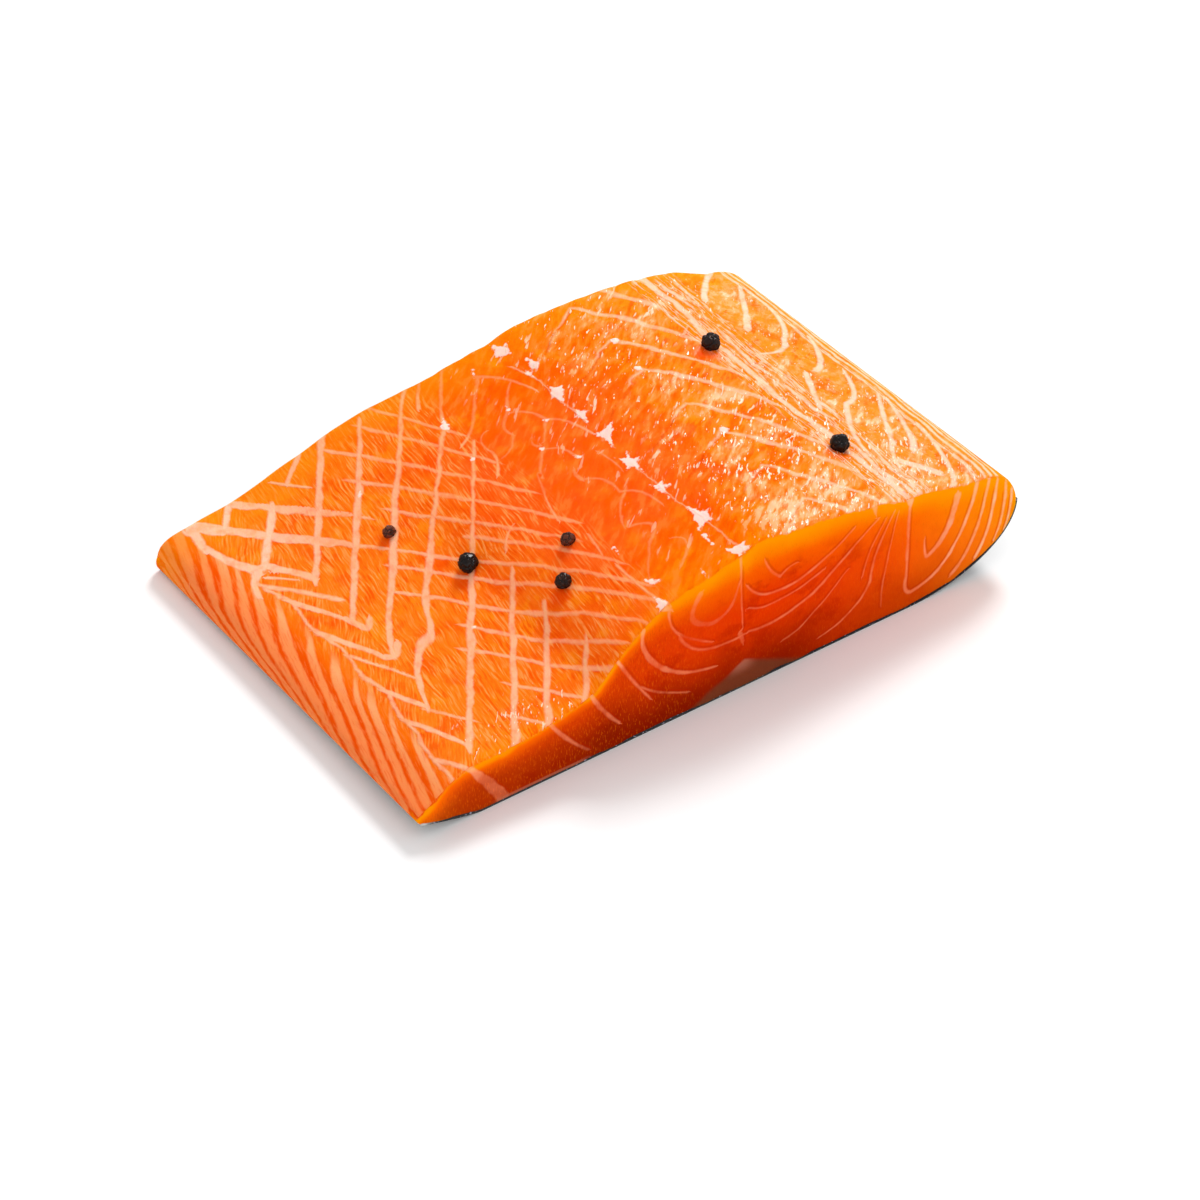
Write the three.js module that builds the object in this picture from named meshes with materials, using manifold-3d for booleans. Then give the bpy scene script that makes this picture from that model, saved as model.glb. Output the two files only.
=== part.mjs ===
// A thick piece of salmon fillet, lying skin side down, with whole peppercorns on top.
//
// Millimetres, +Z up. X runs across the fish from the belly edge to the back, and Y runs along
// it from the thick cut to the thinner cut towards the tail. The origin is under the middle.
import * as THREE from 'three';
import { mergeVertices } from 'three/addons/utils/BufferGeometryUtils.js';
import Module from 'manifold-3d';

const wasm = await Module();
wasm.setup();

// Overall size of the piece
const WIDTH = 196;
const BELLY_LENGTH = 124;
const BACK_LENGTH = 118.5;
const CUT_LEAN = 0.12;

// Height of the top along the thick cut, as pairs of distance from the belly edge and height
const THICK_TOP = [
  [0, 7], [4.6, 9.4], [10.2, 12.7], [16.5, 15.1], [29, 15.3], [47, 17.8], [54, 19.8],
  [66, 29.6], [79, 36.5], [101, 41.2], [108, 43], [115, 42.4], [161, 35], [181, 30.6],
];
// The same for the thin cut, where the flap rises to the loin in one long slope
const THIN_TOP = [
  [0, 5], [1.5, 8.2], [4, 9.9], [11, 11.6], [23, 14], [43, 20.9], [63, 27.5],
  [83, 30.3], [101, 34], [113, 37], [133, 38.4], [151, 38], [165, 35.5], [179, 30],
];

// The rounded back: where the shoulder starts, how high its widest line lies, and where the
// underside starts to curl up to meet it
const SHOULDER = { thick: 181, thin: 177 };
const BACK_HEIGHT = { thick: 19, thin: 14 };
const CURL_START = { thick: 158, thin: 163 };
const SHOULDER_FULLNESS = 2.2;
const SHOULDER_ROUNDNESS = 1.8;
const BACK_EDGE = 2.4;

// The belly edge is raised off the surface, most at the thick cut and not at all at the thin one
const CORNER_LIFT = 4.4;
const LIFT_ACROSS = 19;
const LIFT_CURVE = 1.2;

// Skin under the flesh, with the gap that keeps the two solids apart
const SKIN = 0.8;
const GAP = 0.3;
const SKIN_INSET = 1.2;

// Flakes of the loin: low steps along zigzag lines, one for each segment of muscle
const FLAKE_SPACING = 13.5;
const FLAKE_DEPTH = 0.6;
const FLAKE_START = 76;
const FLAKE_FADE = 12;
const FLAKE_EDGE = 0.55;
const FLAKE_ZIGZAG = [[76, 0], [93, 20], [104, 2], [130, 10], [155, -26], [181, 6]];

// Furrow over the pin bones and furrow at the back septum
const SEAM_X = 104;
const SEAM_DEPTH = 0.5;
const SEPTUM_X = 156;
const SEPTUM_DEPTH = 0.6;
const FURROW_WIDTH = 3.5;

// Peppercorns: distance from the belly edge, distance along, diameter
const PEPPERCORNS = [
  [54.5, 57.6, 5.4], [65.9, 31.8, 4.4], [74.2, 41.3, 3.8],
  [46.0, 81.5, 3.5], [152.6, 82.9, 5.4], [155.1, 30.2, 5.3],
];
const PEPPER_SINK = 0.22;

// Fineness of the surfaces
const TOP_COLUMNS = 66;
const TOP_ROWS = 56;
const ROWS_PER_STEP = 7;
const SHOULDER_COLUMNS = 12;
const SKIN_COLUMNS = 36;
const SKIN_CURL_COLUMNS = 12;
const SKIN_ROWS = 14;

const mix = THREE.MathUtils.lerp;
const between = (pair, v) => mix(pair.thick, pair.thin, v);
const clamp01 = (t) => THREE.MathUtils.clamp(t, 0, 1);
const fleshWidth = WIDTH - SKIN - GAP;

// Smooth height through knots, level at every high and low point
function curve(knots, x) {
  const last = knots.length - 1;
  const slope = (i) => (knots[i + 1][1] - knots[i][1]) / (knots[i + 1][0] - knots[i][0]);
  const tangent = (i) => {
    if (i === 0) return slope(0);
    if (i === last) return slope(last - 1);
    const before = slope(i - 1);
    const after = slope(i);
    return before * after <= 0 ? 0 : (2 * before * after) / (before + after);
  };
  if (x <= knots[0][0]) return knots[0][1];
  if (x >= knots[last][0]) return knots[last][1];
  const i = knots.findIndex((knot) => knot[0] > x) - 1;
  const width = knots[i + 1][0] - knots[i][0];
  const t = (x - knots[i][0]) / width;
  const rise = knots[i + 1][1] - knots[i][1];
  const start = tangent(i) * width;
  const end = tangent(i + 1) * width;
  return knots[i][1] + start * t + (3 * rise - 2 * start - end) * t * t
    + (start + end - 2 * rise) * t * t * t;
}

// Straight lines through knots
function zigzag(knots, x) {
  const i = Math.max(1, knots.findIndex((knot) => knot[0] > x));
  const [x0, y0] = knots[i - 1];
  const [x1, y1] = knots[i];
  return mix(y0, y1, (Math.min(x, x1) - x0) / (x1 - x0));
}

// Where a point at distance v along, 0 at the thick cut and 1 at the thin one, lies in Y
function along(x, v, z) {
  const thin = mix(BELLY_LENGTH, BACK_LENGTH, x / WIDTH);
  return mix(CUT_LEAN * z, thin, v);
}

// Low relief of the top: flake steps on the loin and the two long furrows
function relief(x, y) {
  const onLoin = THREE.MathUtils.smoothstep(x, FLAKE_START, FLAKE_START + FLAKE_FADE)
    * (1 - THREE.MathUtils.smoothstep(x, SHOULDER.thin - FLAKE_FADE, SHOULDER.thin));
  const phase = (y - zigzag(FLAKE_ZIGZAG, x)) / FLAKE_SPACING;
  const flake = phase - Math.floor(phase);
  const step = flake - THREE.MathUtils.smoothstep(flake, FLAKE_EDGE, 1);
  const furrow = (centre, depth) => depth * Math.exp(-(((x - centre) / FURROW_WIDTH) ** 2));
  return (step - 0.5) * FLAKE_DEPTH * onLoin
    - furrow(SEAM_X, SEAM_DEPTH) - furrow(SEPTUM_X, SEPTUM_DEPTH);
}

function topHeight(x, v) {
  const ease = (v + v * v * (3 - 2 * v)) / 2;
  const broad = mix(curve(THICK_TOP, x), curve(THIN_TOP, x), ease);
  const back = between(BACK_HEIGHT, v) + BACK_EDGE / 2;
  const start = between(SHOULDER, v);
  const t = clamp01((x - start) / (fleshWidth - start));
  const round = (1 - t ** SHOULDER_FULLNESS) ** (1 / SHOULDER_ROUNDNESS);
  return back + (broad + relief(x, along(x, v, broad)) - back) * round;
}

// Rise of the underside along the raised belly edge
function lift(x, v) {
  return CORNER_LIFT * (1 - v) * clamp01(1 - x / LIFT_ACROSS) ** LIFT_CURVE;
}

// Underside, offset inwards by a distance from the outside of the skin
function underHeight(x, v, inwards) {
  const start = between(CURL_START, v);
  const back = between(BACK_HEIGHT, v);
  const t = clamp01((x - start) / (WIDTH - inwards - start));
  return lift(x, v) + back - (back - inwards) * Math.sqrt(1 - t * t);
}

function place(x, v, z) {
  return [x - WIDTH / 2, along(x, v, z) - BELLY_LENGTH / 2, z];
}

// Columns spread evenly over the flap and loin, then bunched round the shoulder
function columns(width) {
  const flat = TOP_COLUMNS - SHOULDER_COLUMNS;
  const flatEnd = SHOULDER.thin;
  return Array.from({ length: TOP_COLUMNS + 1 }, (_, i) => {
    if (i <= flat) return (flatEnd * i) / flat;
    const angle = ((i - flat) / SHOULDER_COLUMNS) * (Math.PI / 2);
    return flatEnd + (width - flatEnd) * Math.sin(angle);
  });
}

// Closed mesh of the flesh: a fine top, a coarser underside, two flat cuts and two edges
function fleshGeometry() {
  const xs = columns(fleshWidth);
  const steps = TOP_ROWS / ROWS_PER_STEP;
  const positions = [];
  const index = [];
  const topAt = (i, k) => i * (TOP_ROWS + 1) + k;
  const underStart = (TOP_COLUMNS + 1) * (TOP_ROWS + 1);
  const underAt = (i, s) => underStart + i * (steps + 1) + s;
  const face = (a, b, c) => index.push(a, b, c);
  const quad = (a, b, c, d) => {
    face(a, b, c);
    face(a, c, d);
  };

  for (const x of xs) {
    for (let k = 0; k <= TOP_ROWS; k += 1) {
      const v = k / TOP_ROWS;
      positions.push(...place(x, v, topHeight(x, v)));
    }
  }
  for (const x of xs) {
    for (let s = 0; s <= steps; s += 1) {
      const v = s / steps;
      const edge = x === fleshWidth ? -BACK_EDGE / 2 : 0;
      positions.push(...place(x, v, underHeight(x, v, SKIN + GAP) + edge));
    }
  }

  for (let i = 0; i < TOP_COLUMNS; i += 1) {
    for (let k = 0; k < TOP_ROWS; k += 1) {
      quad(topAt(i, k), topAt(i + 1, k), topAt(i + 1, k + 1), topAt(i, k + 1));
    }
    for (let s = 0; s < steps; s += 1) {
      quad(underAt(i, s), underAt(i, s + 1), underAt(i + 1, s + 1), underAt(i + 1, s));
    }
    quad(underAt(i, 0), underAt(i + 1, 0), topAt(i + 1, 0), topAt(i, 0));
    quad(underAt(i + 1, steps), underAt(i, steps), topAt(i, TOP_ROWS), topAt(i + 1, TOP_ROWS));
  }
  // The two long edges fan from each coarse step below to the fine rows above
  for (let s = 0; s < steps; s += 1) {
    const first = s * ROWS_PER_STEP;
    for (let k = first; k < first + ROWS_PER_STEP; k += 1) {
      face(underAt(0, s), topAt(0, k), topAt(0, k + 1));
      face(underAt(TOP_COLUMNS, s), topAt(TOP_COLUMNS, k + 1), topAt(TOP_COLUMNS, k));
    }
    const end = first + ROWS_PER_STEP;
    face(underAt(0, s), topAt(0, end), underAt(0, s + 1));
    face(underAt(TOP_COLUMNS, s), underAt(TOP_COLUMNS, s + 1), topAt(TOP_COLUMNS, end));
  }

  const geometry = new THREE.BufferGeometry();
  geometry.setAttribute('position', new THREE.Float32BufferAttribute(positions, 3));
  geometry.setIndex(index);
  return geometry;
}

// The skin follows the underside from just inside the belly edge and up the curl of the back
function skinGeometry() {
  const geometry = new THREE.BoxGeometry(1, 1, 1, SKIN_COLUMNS, SKIN_ROWS, 1);
  geometry.deleteAttribute('normal');
  geometry.deleteAttribute('uv');
  const merged = mergeVertices(geometry, 1e-6);
  const position = merged.getAttribute('position');
  const flat = 1 - SKIN_CURL_COLUMNS / SKIN_COLUMNS;
  for (let n = 0; n < position.count; n += 1) {
    const u = position.getX(n) + 0.5;
    const v = position.getY(n) + 0.5;
    const inwards = SKIN * (position.getZ(n) + 0.5);
    const start = between(CURL_START, v);
    const back = between(BACK_HEIGHT, v);
    let x = mix(SKIN_INSET, start, Math.min(u / flat, 1));
    let z = inwards + lift(x, v);
    if (u > flat) {
      const angle = ((u - flat) / (1 - flat)) * (Math.PI / 2);
      x = start + (WIDTH - inwards - start) * Math.sin(angle);
      z = back - (back - inwards) * Math.cos(angle);
    }
    position.setXYZ(n, ...place(x, v, z));
  }
  return merged;
}

function toSolid(geometry) {
  const bare = geometry.clone();
  bare.deleteAttribute('normal');
  bare.deleteAttribute('uv');
  const merged = mergeVertices(bare, 1e-4);
  return new wasm.Manifold(new wasm.Mesh({
    numProp: 3,
    vertProperties: new Float32Array(merged.getAttribute('position').array),
    triVerts: new Uint32Array(merged.getIndex().array),
  }));
}

function toGeometry(solid) {
  const mesh = solid.getMesh();
  const geometry = new THREE.BufferGeometry();
  geometry.setAttribute('position', new THREE.Float32BufferAttribute(mesh.vertProperties, 3));
  geometry.setIndex(Array.from(mesh.triVerts));
  geometry.computeVertexNormals();
  return geometry;
}

// A peppercorn sits a little sunk into the flesh
function peppercorn([x, y, diameter]) {
  const v = y / mix(BELLY_LENGTH, BACK_LENGTH, x / WIDTH);
  const z = topHeight(x, v) + diameter * (0.5 - PEPPER_SINK);
  const geometry = new THREE.IcosahedronGeometry(diameter / 2, 1);
  geometry.rotateX(x);
  geometry.translate(x - WIDTH / 2, y - BELLY_LENGTH / 2, z);
  return toSolid(geometry);
}

function fleshWithPeppercorns() {
  let solid = toSolid(fleshGeometry());
  for (const grain of PEPPERCORNS) solid = solid.add(peppercorn(grain));
  return toGeometry(solid);
}

const fleshMaterial = new THREE.MeshStandardMaterial({ color: 0xf2742c, roughness: 0.32, metalness: 0 });
const skinMaterial = new THREE.MeshStandardMaterial({ color: 0x2b2c30, roughness: 0.4, metalness: 0.2 });

const flesh = new THREE.Mesh(fleshWithPeppercorns(), fleshMaterial);
flesh.name = 'flesh';

const skinShape = skinGeometry();
skinShape.computeVertexNormals();
const skin = new THREE.Mesh(skinShape, skinMaterial);
skin.name = 'skin';

const fillet = new THREE.Group();
fillet.name = 'salmon_fillet';
fillet.add(flesh, skin);

export default fillet;
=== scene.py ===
import math

import bmesh
import bpy
import numpy as np
from mathutils import Matrix, Quaternion, Vector, noise


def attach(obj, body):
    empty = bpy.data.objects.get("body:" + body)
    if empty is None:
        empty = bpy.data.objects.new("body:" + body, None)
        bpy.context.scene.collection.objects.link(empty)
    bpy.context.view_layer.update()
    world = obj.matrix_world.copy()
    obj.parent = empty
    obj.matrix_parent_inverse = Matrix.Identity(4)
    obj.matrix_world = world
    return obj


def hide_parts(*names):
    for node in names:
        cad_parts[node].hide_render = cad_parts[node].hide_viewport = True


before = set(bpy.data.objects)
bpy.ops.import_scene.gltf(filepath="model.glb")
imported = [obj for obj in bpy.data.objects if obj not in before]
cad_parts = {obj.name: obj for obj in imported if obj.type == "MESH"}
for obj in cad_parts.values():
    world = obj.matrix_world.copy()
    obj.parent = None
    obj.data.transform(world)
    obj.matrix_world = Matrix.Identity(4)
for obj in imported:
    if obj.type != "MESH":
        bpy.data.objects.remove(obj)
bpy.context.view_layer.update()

MM = 0.001

# Main sizes of the fillet, in millimetres
# X is measured from the belly edge to the back, and Y from the thick cut to the thin one.
WIDTH = 196
BELLY_LENGTH = 124
BACK_LENGTH = 118.5
CUT_LEAN = 0.12
THICK_TOP = [
    (0, 7), (4.6, 9.4), (10.2, 12.7), (16.5, 15.1), (29, 15.3), (47, 17.8), (54, 19.8),
    (66, 29.6), (79, 36.5), (101, 41.2), (108, 43), (115, 42.4), (161, 35), (181, 30.6),
]
THIN_TOP = [
    (0, 5), (1.5, 8.2), (4, 9.9), (11, 11.6), (23, 14), (43, 20.9), (63, 27.5),
    (83, 30.3), (101, 34), (113, 37), (133, 38.4), (151, 38), (165, 35.5), (179, 30),
]
SHOULDER = (181, 177)
BACK_HEIGHT = (19, 14)
CURL_START = (158, 163)
SHOULDER_FULLNESS = 2.2
SHOULDER_ROUNDNESS = 1.8
BACK_EDGE = 2.4
CORNER_LIFT = 4.4
LIFT_ACROSS = 19
LIFT_CURVE = 1.2
SKIN = 0.8
SKIN_OVERLAP = 0.1
SKIN_INSET = 1.2
FLESH_WIDTH = WIDTH - SKIN + SKIN_OVERLAP

# Flakes of the loin and the two long furrows
FLAKE_SPACING = 13.5
FLAKE_DEPTH = 0.3
FLAKE_START = 76
FLAKE_FADE = 12
FLAKE_EDGE = 0.55
FLAKE_ZIGZAG = [(76, 0), (93, 20), (104, 2), (130, 10), (155, -26), (181, 6)]
SEAM_X = 104
SEAM_DEPTH = 0.5
SEPTUM_X = 156
SEPTUM_DEPTH = 0.6
FURROW_WIDTH = 3.5

# Peppercorns: distance from the belly edge, distance along, diameter, how brown
PEPPERCORNS = [
    (54.5, 57.6, 5.4, 0.0), (65.9, 31.8, 4.4, 0.1), (74.2, 41.3, 3.8, 0.55),
    (46.0, 81.5, 3.5, 0.8), (152.6, 82.9, 5.4, 0.05), (155.1, 30.2, 5.3, 0.0),
]
PEPPER_SINK = 0.22
WRINKLE_DEPTH = 0.18
LUMP_HEIGHT = 0.12
PEPPER_FINENESS = 5
PEPPER_SEED = 5

# Fineness of the flesh: columns across, coarse rows along, fine rows in each coarse one, layers
COLUMNS = 300
COARSE_ROWS = 15
FINE_ROWS = 12
LAYERS = 52
SHOULDER_SHARE = 0.16
ROW_CROWDING = 0.4
LAYER_CROWDING = 0.5
TINY = 1e-5

# Small relief of scene pieces, in millimetres
CUT_EDGE = 1.1
CUT_WAVES = 0.22
BELLY_BULGE = 0.6
SPOT_SWELL = 0.35
GRAIN_DEPTH = 0.12
DENT_DEPTH = 0.14
WAVE_DEPTH = 0.12
GRAIN_SLANT = math.radians(42)

# Skin: cells across, along and through, where it starts to curl, and the dark rim at its cuts
SKIN_GRID = (120, 60, 1)
FLAT_SHARE = 2 / 3
SKIN_RIM = 0.7
RIM_START = 4


def mix(first, second, amount):
    return first + (second - first) * amount


def smooth_step(value, low, high):
    t = np.clip((value - low) / (high - low), 0, 1)
    return t * t * (3 - 2 * t)


def curve(knots, x):
    """Smooth height through knots, level at every high and low point."""
    at, height = np.array(knots, float).T
    slope = np.diff(height) / np.diff(at)
    before, after = slope[:-1], slope[1:]
    same_way = before * after > 0
    bend = np.where(same_way, 2 * before * after / np.where(same_way, before + after, 1), 0)
    tangent = np.concatenate(([slope[0]], bend, [slope[-1]]))
    x = np.clip(x, at[0], at[-1])
    i = np.clip(np.searchsorted(at, x, side="right") - 1, 0, len(slope) - 1)
    width = at[i + 1] - at[i]
    t = (x - at[i]) / width
    rise = height[i + 1] - height[i]
    start, end = tangent[i] * width, tangent[i + 1] * width
    return height[i] + t * (start + t * (3 * rise - 2 * start - end + t * (start + end - 2 * rise)))


def patchy(x, y, size, seed):
    """Smooth random field between -1 and 1, with patches of a given size in millimetres."""
    side = 64
    table = np.random.default_rng(seed).uniform(-1, 1, (side, side))
    u, v = x / size, y / size
    i, j = np.floor(u).astype(int), np.floor(v).astype(int)
    s, t = smooth_step(u - i, 0, 1), smooth_step(v - j, 0, 1)
    i, j, i2, j2 = i % side, j % side, (i + 1) % side, (j + 1) % side
    return mix(mix(table[i, j], table[i2, j], s), mix(table[i, j2], table[i2, j2], s), t)


def along(x, v, z):
    return mix(CUT_LEAN * z, mix(BELLY_LENGTH, BACK_LENGTH, x / WIDTH), v)


def relief(x, y):
    """Flake steps on the loin and the two long furrows."""
    on_loin = smooth_step(x, FLAKE_START, FLAKE_START + FLAKE_FADE)
    on_loin = on_loin * (1 - smooth_step(x, SHOULDER[1] - FLAKE_FADE, SHOULDER[1]))
    at, shift = np.array(FLAKE_ZIGZAG, float).T
    flake = ((y - np.interp(x, at, shift)) / FLAKE_SPACING) % 1
    step = flake - smooth_step(flake, FLAKE_EDGE, 1)
    seam = SEAM_DEPTH * np.exp(-(((x - SEAM_X) / FURROW_WIDTH) ** 2))
    septum = SEPTUM_DEPTH * np.exp(-(((x - SEPTUM_X) / FURROW_WIDTH) ** 2))
    return (step - 0.5) * FLAKE_DEPTH * on_loin - seam - septum


def top_height(x, v, extra=0):
    ease = (v + v * v * (3 - 2 * v)) / 2
    broad = mix(curve(THICK_TOP, x), curve(THIN_TOP, x), ease)
    back = mix(*BACK_HEIGHT, v) + BACK_EDGE / 2
    start = mix(*SHOULDER, v)
    t = np.clip((x - start) / (FLESH_WIDTH - start), 0, 1)
    rounded = (1 - t ** SHOULDER_FULLNESS) ** (1 / SHOULDER_ROUNDNESS)
    return back + (broad + relief(x, along(x, v, broad)) + extra - back) * rounded


def lift(x, v):
    return CORNER_LIFT * (1 - v) * np.clip(1 - x / LIFT_ACROSS, 0, 1) ** LIFT_CURVE


def under_height(x, v, inwards):
    start = mix(*CURL_START, v)
    back = mix(*BACK_HEIGHT, v)
    t = np.clip((x - start) / (WIDTH - inwards - start), 0, 1)
    return lift(x, v) + back - (back - inwards) * np.sqrt(1 - t * t)


def placed(x, v, z):
    return np.stack([x - WIDTH / 2, along(x, v, z) - BELLY_LENGTH / 2, z], axis=1) * MM


# Marbling
# The lines of a row never cross. A row is stored in the mesh as three numbers: the phase, which
# is whole on each line, the distance between lines, and half the line's width.
NO_LINE = -1.0
LEAST_SHARE = 0.02
TAPER_LOSS = 0.4


def row_of_lines(position, lines, tilt):
    """Phase and spacing of a row of lines, and which line is nearest.

    position runs across the row, lines holds where each line passes, and tilt is its slope."""
    lines = np.array([np.broadcast_to(line, position.shape) for line in lines])
    gaps = np.diff(lines, axis=0)
    below = np.clip((position >= lines).sum(axis=0) - 1, 0, len(gaps) - 1)
    gap = np.take_along_axis(gaps, below[None], 0)[0]
    start = np.take_along_axis(lines, below[None], 0)[0]
    phase = np.clip(below + (position - start) / gap, -0.5, len(gaps) + 0.5)
    nearest = np.clip(np.rint(phase), 0, len(gaps)).astype(int)
    return phase, gap / np.hypot(1, tilt), nearest


def between(value, low, high, fade):
    """1 from low to high, fading to 0 over a distance outside."""
    return smooth_step(value, low - fade, low) * (1 - smooth_step(value, high, high + fade))


def width_where(width, share):
    """Half width of a line that tapers away where share falls to 0."""
    tapered = np.where(share > LEAST_SHARE, width * share ** 0.5, NO_LINE)
    return tapered - TAPER_LOSS * (1 - share)


class Marbling:
    """The rows of lines at every vertex of the flesh."""

    def __init__(self, x, y, z, on_cut):
        self.x, self.y, self.z = x, y, z
        self.top = 1 - on_cut
        self.cut = on_cut
        belly_edge = lift(0, y / BELLY_LENGTH) + SKIN
        self.s = np.hypot(x, z - belly_edge)
        self.chain = np.interp(
            y, (0, 16, 22, 27, 36, 45, 51, 57, 62, 66, 71, 80, 88, 92, 97, 101, 113, 122),
            (11.6, 12.2, 13.2, 13.4, 15, 14.1, 14.4, 15.4, 14.8, 13.9, 13.4, 14.9, 13, 12, 13.2, 12,
             9.3, 8))
        self.rows = {}

    def keep(self, name, row, half_width):
        self.rows[name] = np.stack([row[0], row[1], half_width], axis=1)

    def belly_stripes(self):
        """Broad pale stripes that run down from the chain to the belly edge."""
        steep = 4.5 - 0.16 * self.s
        fall = 4.5 * self.s - 0.08 * self.s ** 2
        sway = 1.6 * np.sin(self.y / 11) + 1.1 * np.sin(self.s / 2.4 + self.y / 15)
        lines = [-116 + 10.4 * k + 1.5 * math.sin(5.1 * k) + fall + sway for k in range(24)]
        row = row_of_lines(self.y, lines, steep)
        share = (1 - smooth_step(self.x, self.chain - 1, self.chain + 1)) * self.top
        thick = 1.05 + 0.25 * np.sin(2.7 * row[2]) - 0.5 * smooth_step(self.x, 7, 14)
        self.keep("belly", row, width_where(thick, share))

    def chevron_arms(self):
        """Arms of the chevrons, from their folds to the chain."""
        folds = [
            (20.5, -22, -2.3), (20.5, -8, -2.1), (20.5, 8.5, -2.36), (20.3, 25.5, -2.07),
            (24, 36.5, -1.95), (22.2, 47.2, -2.25), (23, 57, -2), (22, 65.5, -2),
            (25.5, 72, -1.43), (24, 84, -1.35), (20, 106, -1.4), (20, 122, -1.4),
        ]
        thicks = (0.6, 0.6, 0.8, 0.8, 0.5, 0.8, -0.5, 0.85, 0.5, -0.5, -0.5, -0.5)
        lines = [y + tilt * (self.x - x) for x, y, tilt in folds]
        row = row_of_lines(self.y, lines, 1.8)
        end = np.array([x for x, y, tilt in folds])[row[2]]
        share = between(self.x, self.chain, end - 0.6, 1.2) * self.top
        self.keep("arms", row, width_where(np.array(thicks)[row[2]], share))

    def septa(self):
        """Long lines that rise from the folds to the edge of the flap."""
        at_fold = (*range(-97, 0, 15), 13, 37, 50, 65.5, 83, 105.5, 125, 140)
        tilts = (1.3, 1.3, 1.3, 1.33, 1.4, 1.47, 1.46, 1.4, 1.21, 1.33, 1.4, 1.42, 1.25, 1.3, 1.3)
        dips = (0,) * 8 + (7, 3.5) + (0,) * 5
        starts = (21,) * 7 + (20.5, 20.5, 24.5, 23.5, 24, 17, 17, 17)
        tips = (61, 61, 61, 61, 61, 60.5, 61, 79, 78, 80, 62, 62, 30, 62, 62)
        lines = [y + tilt * (self.x - 24) - dip * np.exp(-np.maximum(self.x - start, 0) / 2)
                 for y, tilt, dip, start in zip(at_fold, tilts, dips, starts)]
        # One of them sags between its fold and the middle of the flap
        lines[8] = lines[8] - 4.2 * np.exp(-((self.x - 35.5) / 3.2) ** 2)
        row = row_of_lines(self.y, lines, 1.35)
        start, tip = np.array(starts)[row[2]], np.array(tips)[row[2]]
        thick = mix(0.85, 0.45, smooth_step(self.x, 46, 70))
        share = between(self.x, start - 0.6, tip, 1.2)
        self.keep("septa", row, width_where(thick, share * self.top))

    def rib_lines(self):
        """Thinner lines that fall across the septa towards the loin."""
        at_middle = (-22, -8, -1, 16.5, 31, 43, 55.5, 69.5, 79, 91, 99, 112.5, 127.5, 145, 160)
        starts = (31, 20, 35, 41, 39, 43.5, 37, 41, 9, 22, 51, 49, 50, 61, 61)
        ends = (40, 26, 40, 54, 61, 65, 71, 78, 78, 78, 75, 79, 78, 78, 78)
        run = self.x - 43
        drop = 1.4 * run + 0.012 * np.maximum(run, 0) ** 2
        tilt = 1.4 + 0.024 * np.maximum(run, 0)
        lines = [y - drop for y in at_middle]
        # Two of them bend apart on the belly side, and the upper one fades out for a stretch
        near_belly = 1 - smooth_step(self.x, 42, 56)
        lines[8], lines[9] = lines[8] - 1.2 * near_belly, lines[9] + 3 * near_belly
        row = row_of_lines(self.y, lines, tilt)
        start, end = np.array(starts)[row[2]], np.array(ends)[row[2]]
        corner = smooth_step(self.y, 82, 92) * (1 - smooth_step(self.x, 34, 44))
        share = between(self.x, start, end, 2.5) * self.top
        hidden = np.where(row[2] == 9, between(self.x, 47, 58, 1.5), 0)
        self.keep("ribs", row, width_where(mix(0.46, 1.3, corner), share * (1 - hidden)))

    def loin_ridges(self):
        """Soft ridges of the loin: a short rise to a crest, then a long fall to the back."""
        run = self.x - 130
        drop = np.where(run > 0, 1.15 * run + 0.012 * run * run, -0.6 * run)
        lines = [y - drop for y in (-3, 15, 32, 50, 65, 84, 99, 117, 135, 152)]
        row = row_of_lines(self.y, lines, np.where(run > 0, 1.15 + 0.024 * run, 0.6))
        share = between(self.x, 124, 150, 4) * self.top
        thick = mix(0.35, 0.75, smooth_step(self.x, 130, 134))
        self.keep("loin", row, width_where(thick, share))

    def long_lines(self):
        """Lines along the fish: chain, seam, the bundle of the back septum and the rim."""
        x, y = self.x, self.y
        seam = np.interp(y, (0, 20, 40, 62, 78, 85, 97, 103, 110, 121),
                         (103, 103.3, 102.4, 103.5, 104.8, 105, 105.6, 104.8, 103, 102))
        septum = [152.6 + 0.8 * np.sin(y / 5.5),
                  156.1 + 1.1 * np.sin(y / 17 + 1) + 0.5 * np.sin(y / 5),
                  159.9 + 1.0 * np.sin(y / 8 + 2), 163.2 + 1.3 * np.sin(y / 12 + 4)]
        out = 4 * (1 - np.exp(-y / 16)) + 0.4 * np.sin(y / 7)
        rim = [180.6 + out, 183 + out + 0.3 * np.sin(y / 4), 185.4 + out, 187.8 + 0.8 * out]
        row = row_of_lines(x, [self.chain, seam] + septum + rim, 0)
        halves = np.array((0.42, 0.16, 0.45, 0.95, 0.5, 0.45, 0.55, 0.5, 0.45, 0.45))[row[2]]
        broken = smooth_step(patchy(x, y, 7, 41) + 0.55, 0, 0.5)
        thinner = (row[2] == 1) | (row[2] == 2) | (row[2] == 4) | (row[2] == 5)
        share = np.where(thinner, broken * between(y, 4, 125, 6), 1) * self.top
        share = share * (1 - smooth_step(x, rim[-1] + 0.7, rim[-1] + 1.3))
        self.keep("long", row, width_where(halves, share))

    def draw(self):
        self.belly_stripes()
        self.chevron_arms()
        self.septa()
        self.rib_lines()
        self.loin_ridges()
        self.long_lines()
        on_cut = self.cut[:, None] > 0.5
        for name, on_top, on_end in (("bows", TOP_BOWS, CUT_BOWS),
                                     ("fine_bows", FINE_TOP_BOWS, FINE_CUT_BOWS)):
            self.rows[name] = np.where(on_cut, nearest_bow(self.x, self.z, on_end),
                                       nearest_bow(self.x, self.y, on_top))
        return self.rows


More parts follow.
